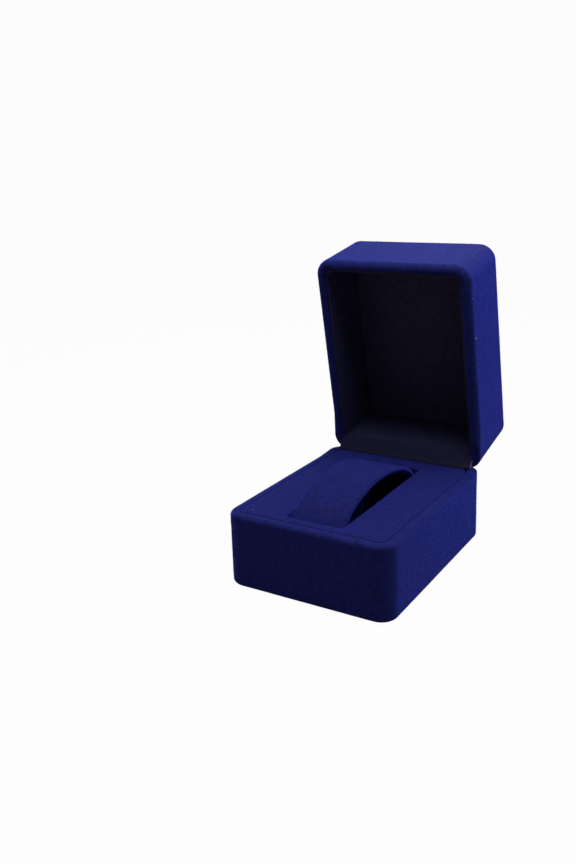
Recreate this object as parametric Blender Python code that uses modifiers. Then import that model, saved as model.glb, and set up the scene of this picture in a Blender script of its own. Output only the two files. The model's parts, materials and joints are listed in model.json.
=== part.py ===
# Velvet covered watch case, standing open: a moulded tray and a hinged lid.
# Metres, +Z up, +X to the right along the front, +Y to the back where the hinge is.
# The lid is modelled closed and turned open by an empty on the hinge pin's axis.
# The origin is the centre of the underside.
import math

import bmesh
import bpy
from mathutils import Matrix

MM = 0.001

# Outer sizes of the closed case, over the velvet
CASE_WIDTH = 80.0 * MM
CASE_DEPTH = 104.0 * MM
BASE_HEIGHT = 33.5 * MM
LID_HEIGHT = 37.8 * MM
CORNER_RADIUS = 8.0 * MM
BOTTOM_RADIUS = 2.0 * MM
DRAFT = math.radians(0.4)
OPEN_ANGLE = math.radians(79.5)

# Walls, layers and clearances
COVER = 0.8 * MM
GAP = 0.3 * MM
SHELL_WALL = 2.2 * MM
SHELL_FLOOR = 2.2 * MM
RIM_CLEARANCE = 0.6 * MM
RIM_OUTER_RADIUS = 2.8 * MM
COVER_WRAP = 9.0 * MM
COVER_FLANGE = 6.8 * MM

# Platform in the tray, with the slot that the collar stands in
DECK_DROP = 0.1 * MM
DECK_EDGE_RADIUS = 1.0 * MM
DECK_SKIRT = 5.0 * MM
SLOT_WIDTH = 28.0 * MM
SLOT_LENGTH = 79.6 * MM
SLOT_CENTRE = -2.5 * MM
SLOT_CORNER = 2.0 * MM
SLOT_EDGE_RADIUS = 0.7 * MM
SLOT_PAD = 1.5 * MM

# Sprung collar that the watch is strapped round
COLLAR_BAND = 0.8 * MM
COLLAR_WIDTH = 26.0 * MM
COLLAR_TOP = 43.5 * MM
COLLAR_END_CLEARANCE = 0.9 * MM
COLLAR_GAP_ANGLE = math.radians(9.0)
COLLAR_STEPS = 44

# Padded panel let into the top of the lid
LIP_WALL = 1.2 * MM
LIP_FLANGE = 3.6 * MM
RECESS_DEPTH = 4.0 * MM
LID_PLATE = 2.0 * MM
GROOVE = 0.6 * MM
BOARD = 1.5 * MM
PANEL_CORNER = 6.0 * MM
PANEL_EDGE_RADIUS = 2.2 * MM
PANEL_DROP = 0.5 * MM
PANEL_CROWN = 1.1 * MM
CROWN_STEPS = 6

# Lining of the lid
LINING = 1.2 * MM
LINING_PANEL = 1.6 * MM
LINING_RIM_DROP = 1.5 * MM
FLAP = 0.9 * MM
FLAP_WIDTH = 63.0 * MM
FLAP_TUCK = 4.6 * MM

# Hinge: two rolled leaves on one pin
HINGE_INSET = 1.9 * MM
HINGE_WIDTH = 30.0 * MM
KNUCKLE_COUNT = 5
KNUCKLE_CLEARANCE = 0.3 * MM
KNUCKLE_STEPS = 14
LEAF = 0.5 * MM
LEAF_DEPTH = 11.0 * MM
LEAF_BEND = 0.6 * MM
PIN_RADIUS = 0.6 * MM
PIN_CLEARANCE = 0.25 * MM
ROLL_ANGLE = math.radians(290.0)
RIVET_RADIUS = 0.75 * MM
RIVET_HEAD_RADIUS = 1.5 * MM
RIVET_HEAD = 0.5 * MM
RIVET_DEPTH = 8.0 * MM
RIVET_SPACING = 18.0 * MM
WINDOW_CLEARANCE = 0.5 * MM

# Smoothness of round corners and edges
CORNER_STEPS = 6
EDGE_STEPS = 5
ROUND_SIDES = 20
MIN_RADIUS = 0.5 * MM

# Sizes that follow from those above
RIM_BAND = SHELL_WALL + 2 * (COVER + GAP)
RIM_INNER_RADIUS = max((RIM_BAND - RIM_OUTER_RADIUS) * 0.9, COVER + GAP + 0.1 * MM)
LIP_BAND = LIP_WALL + 2 * (COVER + GAP)
LIP_RADIUS = LIP_BAND / 2
SKIN = COVER + GAP
LID_LOW = BASE_HEIGHT + RIM_CLEARANCE
LID_TOP = LID_LOW + LID_HEIGHT
RECESS_FLOOR = LID_TOP - RECESS_DEPTH
PLATE_UNDER = RECESS_FLOOR - LID_PLATE
FLOOR_TOP = SKIN + SHELL_FLOOR
DECK_TOP = BASE_HEIGHT - DECK_DROP
HINGE_Y = CASE_DEPTH / 2 - HINGE_INSET
HINGE_Z = BASE_HEIGHT + RIM_CLEARANCE / 2
ROLL_RADIUS = PIN_RADIUS + PIN_CLEARANCE + LEAF / 2
KNUCKLE_RADIUS = ROLL_RADIUS + LEAF / 2
LEAF_INSET = RIM_BAND - SKIN + GAP + LEAF / 2
COLLAR_THICKNESS = COLLAR_BAND + 2 * (GAP + COVER)
FLAP_ROOM = FLAP + GAP

# Colours, linear RGB, with roughness and metallic value
FINISHES = {
    "velvet": ((0.012, 0.018, 0.150), 0.95, 0.0),
    "lining_velvet": ((0.006, 0.009, 0.060), 0.95, 0.0),
    "shell_plastic": ((0.030, 0.032, 0.040), 0.55, 0.0),
    "card": ((0.330, 0.290, 0.230), 0.90, 0.0),
    "foam": ((0.100, 0.110, 0.130), 0.95, 0.0),
    "hinge_steel": ((0.520, 0.500, 0.460), 0.30, 1.0),
}


def start_scene():
    """Empty the file and make the collections, the materials and the hinge's empty."""
    for old in list(bpy.data.objects):
        bpy.data.objects.remove(old, do_unlink=True)
    collections = {}
    for name in ("watch_case", "cutters"):
        collections[name] = bpy.data.collections.new(name)
        bpy.context.scene.collection.children.link(collections[name])
    materials = {}
    for name, (colour, roughness, metallic) in FINISHES.items():
        material = bpy.data.materials.new(name)
        material.use_nodes = True
        shader = material.node_tree.nodes["Principled BSDF"]
        shader.inputs["Base Color"].default_value = (*colour, 1.0)
        shader.inputs["Roughness"].default_value = roughness
        shader.inputs["Metallic"].default_value = metallic
        materials[name] = material
    hinge = bpy.data.objects.new("lid_hinge_axis", None)
    hinge.location = (0.0, HINGE_Y, HINGE_Z)
    hinge.rotation_euler = (-OPEN_ANGLE, 0.0, 0.0)
    hinge.empty_display_size = 0.02
    collections["watch_case"].objects.link(hinge)
    return collections, materials, hinge


COLLECTIONS, MATERIALS, LID_HINGE = start_scene()


def finish(obj, finish_name, body, location=(0.0, 0.0, 0.0)):
    """Give a sub-part its material and place it on the base or, closed, on the lid."""
    obj.data.materials.append(MATERIALS[finish_name])
    COLLECTIONS["watch_case"].objects.link(obj)
    seat(obj, body, location)
    if obj.type == "MESH":
        obj.data.shade_smooth()
        obj.data.set_sharp_from_angle(angle=math.radians(35))
    return obj


def seat(obj, body, location):
    """Place an object, turned with the lid when it rides there."""
    obj.location = location
    if body == "lid":
        obj.parent = LID_HINGE
        obj.location = (location[0], location[1] - HINGE_Y, location[2] - HINGE_Z)


def cutter(obj, body):
    """Keep a cutting shape out of sight."""
    COLLECTIONS["cutters"].objects.link(obj)
    seat(obj, body, (0.0, 0.0, 0.0))
    obj.hide_render = True
    obj.display_type = "WIRE"
    return obj


def boolean(obj, other):
    """Cut with a live modifier."""
    modifier = obj.modifiers.new(other.name, "BOOLEAN")
    modifier.operation = "DIFFERENCE"
    modifier.object = other


def arc(centre, radius, start, end, steps=EDGE_STEPS):
    """Points of an arc in profile coordinates, angles in degrees."""
    points = []
    for step in range(steps + 1):
        angle = math.radians(start + (end - start) * step / steps)
        points.append((centre[0] + radius * math.cos(angle), centre[1] + radius * math.sin(angle)))
    return points


def ring_points(half_x, half_y, centre_y, radius):
    """Outline of a rounded rectangle, anticlockwise from its +X +Y corner."""
    radius = min(max(radius, MIN_RADIUS), half_x, half_y)
    points = []
    for corner, (side_x, side_y) in enumerate(((1, 1), (-1, 1), (-1, -1), (1, -1))):
        for step in range(CORNER_STEPS + 1):
            angle = math.pi / 2 * (corner + step / CORNER_STEPS)
            x = side_x * (half_x - radius) + radius * math.cos(angle)
            y = centre_y + side_y * (half_y - radius) + radius * math.sin(angle)
            points.append((x, y))
    return points


def loft(name, sections, closed=False):
    """Body through rounded rectangles at heights: a closed loop of them, or capped at both ends."""
    bm = bmesh.new()
    rings = []
    for half_x, half_y, centre_y, radius, z in sections:
        outline = ring_points(half_x, half_y, centre_y, radius)
        rings.append([bm.verts.new((x, y, z)) for x, y in outline])
    pairs = list(zip(rings, rings[1:]))
    if closed:
        pairs.append((rings[-1], rings[0]))
    else:
        bm.faces.new(list(reversed(rings[0])))
        bm.faces.new(rings[-1])
    for low, high in pairs:
        count = len(low)
        for i in range(count):
            j = (i + 1) % count
            bm.faces.new((low[i], low[j], high[j], high[i]))
    bmesh.ops.recalc_face_normals(bm, faces=bm.faces)
    mesh = bpy.data.meshes.new(name)
    bm.to_mesh(mesh)
    bm.free()
    return bpy.data.objects.new(name, mesh)


def panel(name, half_x, half_y, centre_y, radius, low, high):
    """Flat panel: a filled outline curve, extruded and made a mesh."""
    curve = bpy.data.curves.new(name, "CURVE")
    curve.dimensions = "2D"
    curve.fill_mode = "BOTH"
    curve.extrude = (high - low) / 2
    outline = ring_points(half_x, half_y, centre_y, radius)
    spline = curve.splines.new("POLY")
    spline.points.add(len(outline) - 1)
    for point, (x, y) in zip(spline.points, outline):
        point.co = (x, y, 0.0, 1.0)
    spline.use_cyclic_u = True
    return curve_to_mesh(name, curve, (0.0, 0.0, (low + high) / 2))


def curve_to_mesh(name, curve, lift=(0.0, 0.0, 0.0)):
    """Turn a curve into a welded mesh of its own, moved by lift."""
    temporary = bpy.data.objects.new(name + "_curve", curve)
    COLLECTIONS["cutters"].objects.link(temporary)
    bpy.context.view_layer.update()
    evaluated = temporary.evaluated_get(bpy.context.evaluated_depsgraph_get())
    mesh = bpy.data.meshes.new_from_object(evaluated)
    bm = bmesh.new()
    bm.from_mesh(mesh)
    bmesh.ops.remove_doubles(bm, verts=bm.verts, dist=0.000001)
    bmesh.ops.translate(bm, verts=bm.verts, vec=lift)
    bmesh.ops.recalc_face_normals(bm, faces=bm.faces)
    bm.to_mesh(mesh)
    bm.free()
    bpy.data.objects.remove(temporary, do_unlink=True)
    bpy.data.curves.remove(curve)
    mesh.name = name
    return bpy.data.objects.new(name, mesh)


def strip(name, route, width, thickness):
    """Bent strip: a route in the YZ plane, drawn out along X, with Solidify for its thickness."""
    bm = bmesh.new()
    left = [bm.verts.new((-width / 2, y, z)) for y, z in route]
    right = [bm.verts.new((width / 2, y, z)) for y, z in route]
    for i in range(len(route) - 1):
        bm.faces.new((left[i], left[i + 1], right[i + 1], right[i]))
    mesh = bpy.data.meshes.new(name)
    bm.to_mesh(mesh)
    bm.free()
    obj = bpy.data.objects.new(name, mesh)
    solidify = obj.modifiers.new("thickness", "SOLIDIFY")
    solidify.thickness = thickness
    solidify.offset = 0.0
    solidify.use_even_offset = True
    return obj


def box(name, x_range, y_range, z_range):
    """Plain block between three pairs of limits."""
    bm = bmesh.new()
    bmesh.ops.create_cube(bm, size=1.0)
    for axis, (low, high) in enumerate((x_range, y_range, z_range)):
        for vert in bm.verts:
            vert.co[axis] = (low + high) / 2 + vert.co[axis] * (high - low)
    mesh = bpy.data.meshes.new(name)
    bm.to_mesh(mesh)
    bm.free()
    return bpy.data.objects.new(name, mesh)


def turned(name, profile, sides=ROUND_SIDES):
    """Turned piece: a profile of radius and height, down its outer side, with a Screw modifier."""
    mesh = bpy.data.meshes.new(name)
    bm = bmesh.new()
    verts = [bm.verts.new((radius, 0.0, height)) for radius, height in profile]
    for first, second in zip(verts, verts[1:]):
        bm.edges.new((first, second))
    bm.to_mesh(mesh)
    bm.free()
    obj = bpy.data.objects.new(name, mesh)
    screw = obj.modifiers.new("turn", "SCREW")
    screw.steps = sides
    screw.render_steps = sides
    screw.use_merge_vertices = True
    screw.merge_threshold = 0.000001
    return obj


def base_draft(z):
    """How far the tray's wall leans in at a height."""
    return (BASE_HEIGHT - z) * math.tan(DRAFT)


def lid_draft(z):
    """How far the closed lid's wall leans in at a height."""
    return (z - LID_LOW) * math.tan(DRAFT)


def base_section(inset, z):
    """Rounded rectangle an inset inside the tray's outer face."""
    lean = inset + base_draft(z)
    return (CASE_WIDTH / 2 - lean, CASE_DEPTH / 2 - lean, 0.0, CORNER_RADIUS - lean, z)


def lid_section(inset, z):
    """Rounded rectangle an inset inside the closed lid's outer face."""
    lean = inset + lid_draft(z)
    return (CASE_WIDTH / 2 - lean, CASE_DEPTH / 2 - lean, 0.0, CORNER_RADIUS - lean, z)


def slot_section(growth, z):
    """The platform's slot, grown by a layer."""
    half_x = SLOT_WIDTH / 2 + growth
    half_y = SLOT_LENGTH / 2 + growth
    return (half_x, half_y, SLOT_CENTRE, SLOT_CORNER + growth, z)


def insert_section(inset, z):
    """Section of the insert: as the tray's, but short of the back wall by the flap's room."""
    half_x, half_y, _, radius, _ = base_section(inset, z)
    return (half_x, half_y - FLAP_ROOM / 2, -FLAP_ROOM / 2, radius, z)


def base_rim(depth):
    """Top of the tray's wall: a soft outer edge and a tighter inner one."""
    outer = (RIM_OUTER_RADIUS, BASE_HEIGHT - RIM_OUTER_RADIUS)
    inner = (RIM_BAND - RIM_INNER_RADIUS, BASE_HEIGHT - RIM_INNER_RADIUS)
    return (arc(outer, RIM_OUTER_RADIUS - depth, 180, 90)
            + arc(inner, RIM_INNER_RADIUS - depth, 90, 0, EDGE_STEPS - 1))


def lid_rim(depth):
    """The lid's rim, from its inner edge round to its outer wall."""
    inner = (RIM_BAND - RIM_INNER_RADIUS, LID_LOW + RIM_INNER_RADIUS)
    outer = (RIM_OUTER_RADIUS, LID_LOW + RIM_OUTER_RADIUS)
    return (arc(inner, RIM_INNER_RADIUS - depth, 0, -90, EDGE_STEPS - 1)
            + arc(outer, RIM_OUTER_RADIUS - depth, -90, -180))


def base_cover_face(depth):
    """The tray's velvet from its turned-in hem over the rim: its face, or a depth below it."""
    points = [(COVER_FLANGE, depth)]
    points += arc((BOTTOM_RADIUS, BOTTOM_RADIUS), BOTTOM_RADIUS - depth, 270, 180)
    points += base_rim(depth)
    points.append((RIM_BAND - depth, BASE_HEIGHT - COVER_WRAP))
    return points


def lid_cover_face(depth):
    """The lid's velvet from inside its rim up to the groove round the padded panel."""
    points = [(RIM_BAND - depth, LID_LOW + COVER_WRAP)]
    points += lid_rim(depth)
    points += arc((LIP_RADIUS, LID_TOP - LIP_RADIUS), LIP_RADIUS - depth, 180, 0, 2 * EDGE_STEPS)
    points.append((LIP_BAND - depth, RECESS_FLOOR + SKIN - depth))
    points.append((LIP_BAND + LIP_FLANGE, RECESS_FLOOR + SKIN - depth))
    return points


def make_base_shell():
    """Moulded tray with a rounded wall top."""
    points = arc((BOTTOM_RADIUS, BOTTOM_RADIUS), BOTTOM_RADIUS - SKIN, 270, 180)
    points += base_rim(SKIN)
    points.append((RIM_BAND - SKIN, FLOOR_TOP))
    shell = loft("base_shell", [base_section(inset, z) for inset, z in points])
    return finish(shell, "shell_plastic", "base")


def make_base_cover():
    """Velvet wrap of the tray: hem underneath, outer wall, rim and inner wall."""
    face = base_cover_face(0.0)
    back = list(reversed(base_cover_face(COVER)))
    cover = loft("base_cover", [base_section(inset, z) for inset, z in face + back], closed=True)
    return finish(cover, "velvet", "base")


def make_underside_panel():
    """Velvet panel that closes the underside inside the hem."""
    half_x, half_y, centre_y, radius, _ = base_section(COVER_FLANGE + GAP, 0.0)
    underside = panel("underside_panel", half_x, half_y, centre_y, radius, 0.0, COVER)
    return finish(underside, "velvet", "base")


def make_insert_foam():
    """Foam block that fills the tray, with the slot through it."""
    inset = RIM_BAND + GAP + SKIN
    low = FLOOR_TOP + GAP
    high = DECK_TOP - SKIN
    sections = [insert_section(inset, low), insert_section(inset, high)]
    sections += [slot_section(SKIN, high), slot_section(SKIN, low)]
    return finish(loft("insert_foam", sections, closed=True), "foam", "base")


def insert_cover_outer(depth):
    """Skirt and rolled edge of the platform's velvet, a depth inside its face."""
    inset = RIM_BAND + GAP
    points = [(inset + depth, DECK_TOP - DECK_SKIRT)]
    centre = (inset + DECK_EDGE_RADIUS, DECK_TOP - DECK_EDGE_RADIUS)
    points += arc(centre, DECK_EDGE_RADIUS - depth, 180, 90)
    return [insert_section(reach, z) for reach, z in points]


def make_insert_cover():
    """Velvet over the platform, tucked beside the rim and down the slot."""
    slot_foot = FLOOR_TOP + SKIN
    centre = (SLOT_EDGE_RADIUS, DECK_TOP - SLOT_EDGE_RADIUS)
    sections = insert_cover_outer(0.0)
    sections += [slot_section(reach, z) for reach, z in arc(centre, SLOT_EDGE_RADIUS, 90, 180, 3)]
    sections += [slot_section(0.0, slot_foot), slot_section(COVER, slot_foot)]
    sections.append(slot_section(COVER, DECK_TOP - COVER))
    sections += list(reversed(insert_cover_outer(COVER)))
    return finish(loft("insert_cover", sections, closed=True), "velvet", "base")


def make_slot_pad():
    """Velvet covered card on the floor of the slot, under the collar."""
    half_x, half_y, centre_y, radius, _ = slot_section(-GAP, 0.0)
    low = FLOOR_TOP + GAP
    pad = panel("slot_pad", half_x, half_y, centre_y, radius, low, low + SLOT_PAD)
    return finish(pad, "lining_velvet", "base")


def make_hinge_flap():
    """Lining flap that covers the hinge, where it is tucked in behind the platform."""
    front = CASE_DEPTH / 2 - RIM_BAND - GAP - FLAP
    low = BASE_HEIGHT - FLAP_TUCK
    flap = box("hinge_flap", (-FLAP_WIDTH / 2, FLAP_WIDTH / 2), (front, front + FLAP),
               (low, BASE_HEIGHT - RIM_INNER_RADIUS))
    finish(flap, "lining_velvet", "base")


def collar_route(extra):
    """Oval C of the collar's middle, open underneath; extra lengthens both ends."""
    bottom = FLOOR_TOP + GAP + SLOT_PAD + GAP
    half_length = SLOT_LENGTH / 2 - COLLAR_END_CLEARANCE - COLLAR_THICKNESS / 2
    half_height = (COLLAR_TOP - bottom - COLLAR_THICKNESS) / 2
    middle = (COLLAR_TOP + bottom) / 2
    start = -math.pi / 2 + COLLAR_GAP_ANGLE - extra
    end = 3 * math.pi / 2 - COLLAR_GAP_ANGLE + extra
    route = []
    for step in range(COLLAR_STEPS + 1):
        angle = start + (end - start) * step / COLLAR_STEPS
        y = SLOT_CENTRE + half_length * math.cos(angle)
        route.append((y, middle + half_height * math.sin(angle)))
    return route


def make_collar():
    """Sprung band bent to a C, and the velvet sleeve drawn over it."""
    band_width = COLLAR_WIDTH - 2 * SKIN
    recess = math.radians(0.6)
    band = strip("collar_band", collar_route(-recess), band_width, COLLAR_BAND)
    finish(band, "shell_plastic", "base")
    sleeve = strip("collar_cover", collar_route(0.0), COLLAR_WIDTH, COLLAR_THICKNESS)
    finish(sleeve, "velvet", "base")
    inner_width = COLLAR_WIDTH - 2 * COVER
    inner_thickness = COLLAR_THICKNESS - 2 * COVER
    bore = strip("collar_bore", collar_route(2 * recess), inner_width, inner_thickness)
    boolean(sleeve, cutter(bore, "base"))


def make_lid_shell():
    """Moulded lid: walls, a plate let down below the lip, and the lip round it."""
    points = [(SKIN + LIP_WALL, RECESS_FLOOR)]
    points += arc((LIP_RADIUS, LID_TOP - LIP_RADIUS), LIP_RADIUS - SKIN, 0, 180, 2 * EDGE_STEPS)
    points += reversed(lid_rim(SKIN))
    points.append((RIM_BAND - SKIN, PLATE_UNDER))
    shell = loft("lid_shell", [lid_section(inset, z) for inset, z in points])
    return finish(shell, "shell_plastic", "lid")


def make_lid_cover():
    """Velvet wrap of the lid, tucked into the groove at the top and inside the rim."""
    profile = lid_cover_face(0.0) + list(reversed(lid_cover_face(COVER)))
    cover = loft("lid_cover", [lid_section(inset, z) for inset, z in profile], closed=True)
    return finish(cover, "velvet", "lid")


def panel_section(inset, z):
    """Rounded rectangle an inset inside the padded panel's edge, rounder towards its middle."""
    lean = LIP_BAND + GROOVE + lid_draft(LID_TOP) + inset
    radius = max(PANEL_CORNER - inset, inset * 0.45)
    return (CASE_WIDTH / 2 - lean, CASE_DEPTH / 2 - lean, 0.0, radius, z)


def crown_profile(depth, low):
    """Side, rolled edge and crown of the padded panel, a depth inside its face."""
    edge_z = LID_TOP - PANEL_DROP
    points = [(depth, low)]
    points += arc((PANEL_EDGE_RADIUS, edge_z), PANEL_EDGE_RADIUS - depth, 180, 100)
    reach = CASE_WIDTH / 2 - LIP_BAND - GROOVE - 3 * PANEL_EDGE_RADIUS
    flat = edge_z + PANEL_EDGE_RADIUS - depth
    for step in range(1, CROWN_STEPS + 1):
        share = step / CROWN_STEPS
        rise = PANEL_CROWN * (1 - (1 - share) ** 2)
        points.append((PANEL_EDGE_RADIUS + reach * share, flat + rise))
    return points


def make_lid_panel():
    """Card, foam pad and velvet of the crowned panel on top of the lid."""
    board_low = RECESS_FLOOR + SKIN + GAP
    half_x, half_y, centre_y, radius, _ = panel_section(SKIN, 0.0)
    board = panel("lid_panel_board", half_x, half_y, centre_y, radius, board_low, board_low + BOARD)
    finish(board, "card", "lid")
    pad_low = board_low + BOARD + GAP
    pad = loft("lid_panel_pad", [panel_section(inset, z) for inset, z in crown_profile(SKIN, pad_low)])
    finish(pad, "foam", "lid")
    inner = list(reversed(crown_profile(COVER, board_low)))
    outer = crown_profile(0.0, board_low)
    cover = loft("lid_panel_cover", [panel_section(inset, z) for inset, z in inner + outer])
    finish(cover, "velvet", "lid")


def make_lid_lining():
    """Covered card hoop inside the lid's walls and a covered card panel under its top."""
    high = PLATE_UNDER - GAP
    outer = RIM_BAND + GAP
    low = LID_LOW + LINING_RIM_DROP
    corners = [(outer, low), (outer, high), (outer + LINING, high), (outer + LINING, low)]
    hoop = loft("lid_side_lining", [lid_section(inset, z) for inset, z in corners], closed=True)
    finish(hoop, "lining_velvet", "lid")
    half_x, half_y, centre_y, radius, _ = lid_section(outer + LINING + GAP, high)
    ceiling = panel("lid_top_lining", half_x, half_y, centre_y, radius, high - LINING_PANEL, high)
    finish(ceiling, "lining_velvet", "lid")
    return hoop


def leaf_route(side):
    """Bent strip of a leaf, from its foot to its rolled knuckle; side is -1 down, +1 up."""
    plate_y = CASE_DEPTH / 2 - LEAF_INSET
    tab = HINGE_Z + side * ROLL_RADIUS
    route = [(plate_y, HINGE_Z + side * LEAF_DEPTH)]
    for step in range(4):
        angle = math.radians(90) * step / 3
        y = plate_y + LEAF_BEND * (1 - math.cos(angle))
        route.append((y, tab + side * LEAF_BEND * (1 - math.sin(angle))))
    for step in range(KNUCKLE_STEPS + 1):
        angle = ROLL_ANGLE * step / KNUCKLE_STEPS
        y = HINGE_Y + ROLL_RADIUS * math.sin(angle)
        route.append((y, HINGE_Z + side * ROLL_RADIUS * math.cos(angle)))
    return route


def make_leaf(name, body, side, own_knuckles):
    """One leaf of the hinge, with the other leaf's knuckles and two rivet holes cut out."""
    leaf = finish(strip(name, leaf_route(side), HINGE_WIDTH, LEAF), "hinge_steel", body)
    pitch = HINGE_WIDTH / KNUCKLE_COUNT
    plate_front = CASE_DEPTH / 2 - LEAF_INSET + LEAF
    y_range = (plate_front, HINGE_Y + 2 * KNUCKLE_RADIUS)
    z_range = (HINGE_Z - 2 * KNUCKLE_RADIUS, HINGE_Z + 2 * KNUCKLE_RADIUS)
    for index in range(KNUCKLE_COUNT):
        if index in own_knuckles:
            continue
        left = -HINGE_WIDTH / 2 + index * pitch - KNUCKLE_CLEARANCE / 2
        gap = box(f"{name}_gap_{index}", (left, left + pitch + KNUCKLE_CLEARANCE), y_range, z_range)
        boolean(leaf, cutter(gap, body))
    for label, x in (("left", -RIVET_SPACING / 2), ("right", RIVET_SPACING / 2)):
        boolean(leaf, rivet_hole(f"{name}_hole_{label}", body, x, side))
    return leaf


def rivet_hole(name, body, x, side):
    """Clearance hole for a rivet through leaf and wall."""
    radius = RIVET_RADIUS + GAP
    bm = bmesh.new()
    bmesh.ops.create_cone(bm, cap_ends=True, segments=ROUND_SIDES, radius1=radius, radius2=radius,
                          depth=2 * RIM_BAND)
    bmesh.ops.rotate(bm, verts=bm.verts, matrix=Matrix.Rotation(math.radians(90), 3, "X"))
    middle = (x, CASE_DEPTH / 2 - RIM_BAND, HINGE_Z + side * RIVET_DEPTH)
    bmesh.ops.translate(bm, verts=bm.verts, vec=middle)
    mesh = bpy.data.meshes.new(name)
    bm.to_mesh(mesh)
    bm.free()
    return cutter(bpy.data.objects.new(name, mesh), body)


def make_rivet(name, body, x, side):
    """Domed rivet, its head on the leaf and its shank in the moulded wall."""
    head_y = CASE_DEPTH / 2 - LEAF_INSET - LEAF / 2 - GAP
    length = CASE_DEPTH / 2 - SKIN - GAP - base_draft(FLOOR_TOP) - head_y
    profile = [(0.0, RIVET_HEAD)]
    profile += [(RIVET_HEAD_RADIUS * 0.6, RIVET_HEAD * 0.85), (RIVET_HEAD_RADIUS, RIVET_HEAD * 0.3)]
    profile += [(RIVET_HEAD_RADIUS, 0.0), (RIVET_RADIUS, 0.0), (RIVET_RADIUS, -length), (0.0, -length)]
    rivet = turned(name, profile)
    finish(rivet, "hinge_steel", body, (x, head_y, HINGE_Z + side * RIVET_DEPTH))
    rivet.rotation_euler = (math.radians(90), 0.0, 0.0)


def make_pin():
    """Hinge pin through the knuckles, with a small chamfer at each end."""
    chamfer = PIN_RADIUS / 3
    half = HINGE_WIDTH / 2
    profile = [(0.0, half), (PIN_RADIUS - chamfer, half), (PIN_RADIUS, half - chamfer)]
    profile += [(PIN_RADIUS, chamfer - half), (PIN_RADIUS - chamfer, -half), (0.0, -half)]
    pin = turned("hinge_pin", profile)
    finish(pin, "hinge_steel", "base", (0.0, HINGE_Y, HINGE_Z))
    pin.rotation_euler = (0.0, math.radians(90), 0.0)


def open_hinge_window(cover, shell, body, side):
    """Cut the velvet and the rim away round one leaf of the hinge."""
    half = HINGE_WIDTH / 2 + WINDOW_CLEARANCE
    back = CASE_DEPTH / 2
    wrap_end = HINGE_Z + side * (LEAF_DEPTH + WINDOW_CLEARANCE)
    past_axis = HINGE_Z - side * RIM_BAND
    inner = box(f"{body}_leaf_window", (-half, half),
                (back - RIM_BAND - GAP / 2, back - RIM_BAND + COVER + GAP / 2),
                sorted((wrap_end, past_axis)))
    boolean(cover, cutter(inner, body))
    rim_cut = HINGE_Z + side * (KNUCKLE_RADIUS + GAP)
    rim = box(f"{body}_rim_window", (-half, half), (back - 2 * RIM_BAND, back + RIM_BAND),
              sorted((rim_cut, past_axis)))
    cutter(rim, body)
    boolean(cover, rim)
    boolean(shell, rim)
    for label, x in (("left", -RIVET_SPACING / 2), ("right", RIVET_SPACING / 2)):
        boolean(shell, rivet_hole(f"{body}_shell_hole_{label}", body, x, side))


def pocket_lining(hoop):
    """Let the rivet heads into the back of the lid's lining."""
    outer = CASE_DEPTH / 2 - RIM_BAND
    head_room = LEAF_INSET + LEAF / 2 + 2 * GAP + RIVET_HEAD
    reach = RIVET_HEAD_RADIUS + GAP
    height = HINGE_Z + RIVET_DEPTH
    for label, x in (("left", -RIVET_SPACING / 2), ("right", RIVET_SPACING / 2)):
        pocket = box(f"lining_pocket_{label}", (x - reach, x + reach),
                     (CASE_DEPTH / 2 - head_room, outer + COVER), (height - reach, height + reach))
        boolean(hoop, cutter(pocket, "lid"))


def make_hinge(base_cover, base_shell, lid_cover, lid_shell, hoop):
    """Leaves, pin and rivets, and the room they need in the pieces round them."""
    base_knuckles = list(range(0, KNUCKLE_COUNT, 2))
    lid_knuckles = list(range(1, KNUCKLE_COUNT, 2))
    make_leaf("hinge_base_leaf", "base", -1, base_knuckles)
    make_leaf("hinge_lid_leaf", "lid", 1, lid_knuckles)
    make_pin()
    for body, side in (("base", -1), ("lid", 1)):
        for label, x in (("left", -RIVET_SPACING / 2), ("right", RIVET_SPACING / 2)):
            make_rivet(f"{body}_rivet_{label}", body, x, side)
    open_hinge_window(base_cover, base_shell, "base", -1)
    open_hinge_window(lid_cover, lid_shell, "lid", 1)
    pocket_lining(hoop)


def main():
    base_shell = make_base_shell()
    base_cover = make_base_cover()
    make_underside_panel()
    make_insert_foam()
    make_insert_cover()
    make_slot_pad()
    make_hinge_flap()
    make_collar()
    lid_shell = make_lid_shell()
    lid_cover = make_lid_cover()
    make_lid_panel()
    hoop = make_lid_lining()
    make_hinge(base_cover, base_shell, lid_cover, lid_shell, hoop)


main()
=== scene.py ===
# Velvet watch case standing open: velvet, padding, hinge steel and a plain studio.
# Sizes are in millimetres until a mesh is made, and the lid is made closed and then turned open.
import json
import math
import bpy
import bmesh
from mathutils import Matrix, Vector, noise


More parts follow.
